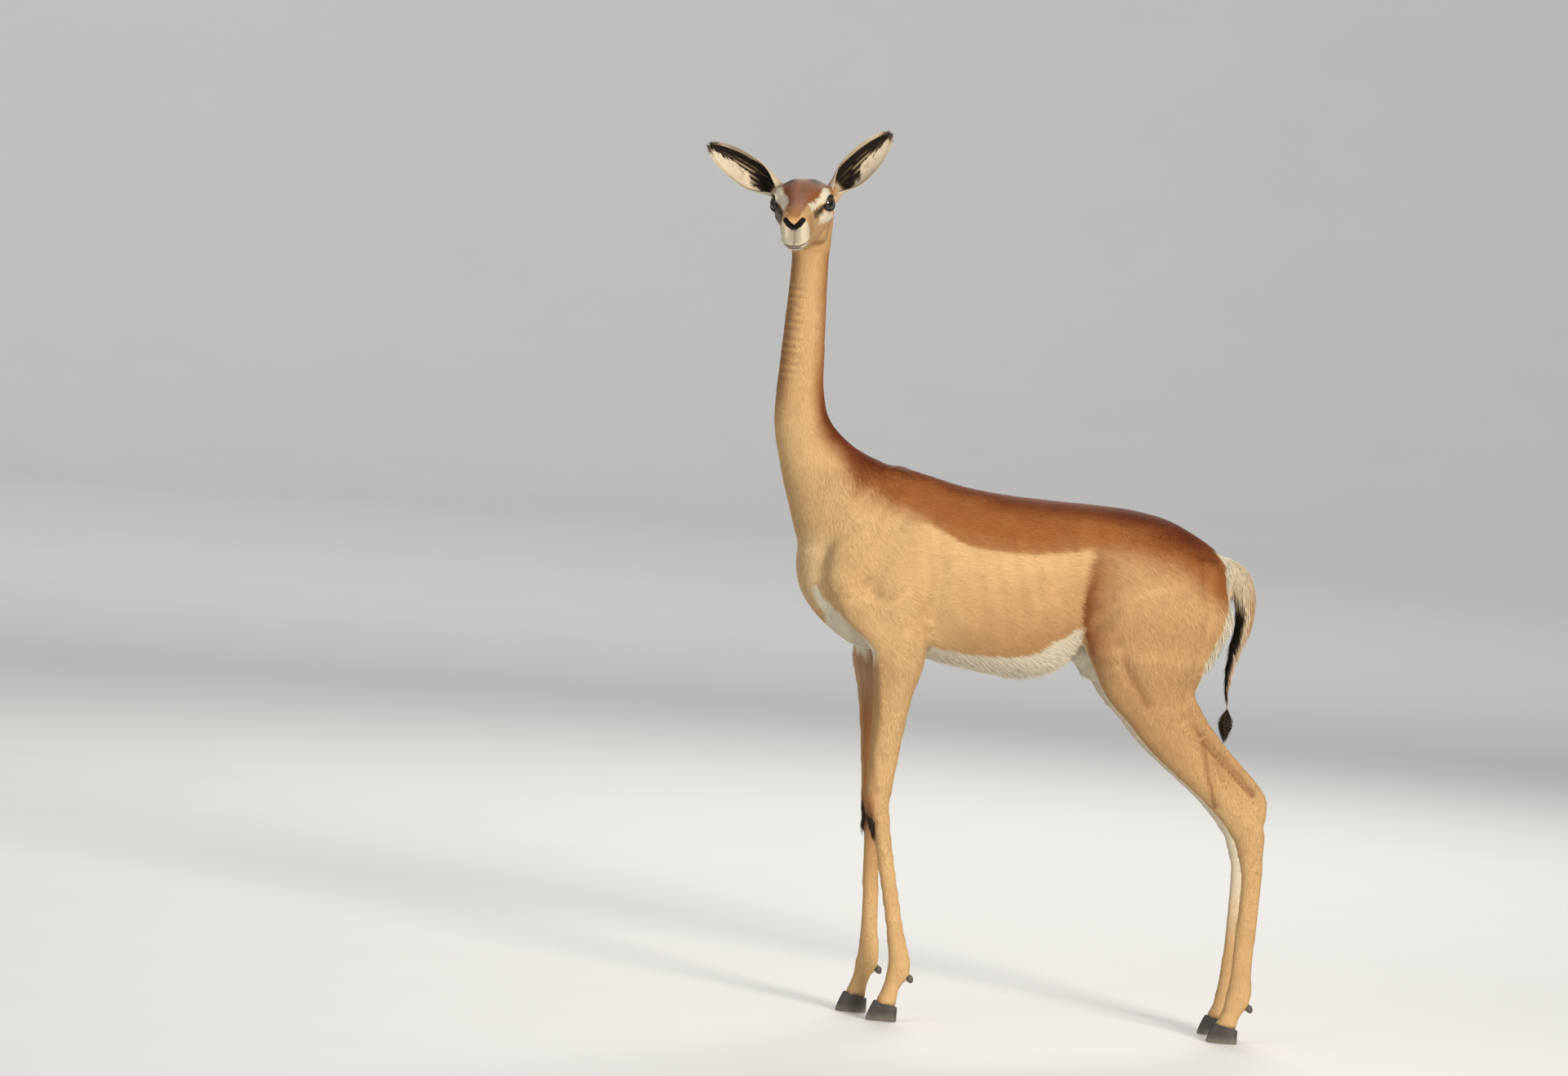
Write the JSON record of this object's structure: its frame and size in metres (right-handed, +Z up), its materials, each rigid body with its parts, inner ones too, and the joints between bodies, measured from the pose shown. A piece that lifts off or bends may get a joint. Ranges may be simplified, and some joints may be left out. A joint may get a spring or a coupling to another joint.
{
  "type": "gerenuk",
  "caption": "Life-size standing gerenuk hen, a slender long-necked antelope, with its head turned to the side and its ears spread.",
  "frame": {"origin": "centre of the bounding box at floor level, under the standing animal", "axes": "+Z up; the animal faces -X, its left side is towards -Y, and its head is turned to look towards -Y"},
  "size_m": [1.0198, 0.2988, 1.4852],
  "materials": {
    "coat_rust": "short, close, glossy rust-brown hair",
    "coat_tan": "short, close sandy tan hair",
    "coat_white": "soft white hair",
    "coat_black": "long black hair in a tuft",
    "ear_skin": "thin skin with pale hair, dark and nearly bare inside the cup",
    "eye_dark": "wet, very dark brown",
    "hoof_horn": "smooth black horn"
  },
  "bodies": {
    "root": {"head": "coat_rust", "chest": "coat_rust", "barrel": "coat_rust", "rump": "coat_rust", "neck_base": "coat_rust", "neck_middle": "coat_tan", "neck_upper": "coat_tan", "fore_left_forearm": "coat_tan", "fore_left_cannon": "coat_tan", "fore_left_pastern": "coat_tan", "fore_right_forearm": "coat_tan", "fore_right_cannon": "coat_tan", "fore_right_pastern": "coat_tan", "hind_left_thigh": "coat_tan", "hind_left_gaskin": "coat_tan", "hind_left_cannon": "coat_tan", "hind_left_pastern": "coat_tan", "hind_right_thigh": "coat_tan", "hind_right_gaskin": "coat_tan", "hind_right_cannon": "coat_tan", "hind_right_pastern": "coat_tan", "udder": "coat_white", "tail": "coat_white", "tail_tuft": "coat_black", "ear_left": "ear_skin", "ear_right": "ear_skin", "eye_left": "eye_dark", "eye_right": "eye_dark", "fore_left_hoof_inner": "hoof_horn", "fore_left_hoof_outer": "hoof_horn", "fore_right_hoof_inner": "hoof_horn", "fore_right_hoof_outer": "hoof_horn", "hind_left_hoof_inner": "hoof_horn", "hind_left_hoof_outer": "hoof_horn", "hind_right_hoof_inner": "hoof_horn", "hind_right_hoof_outer": "hoof_horn"}
  },
  "joints": []
}
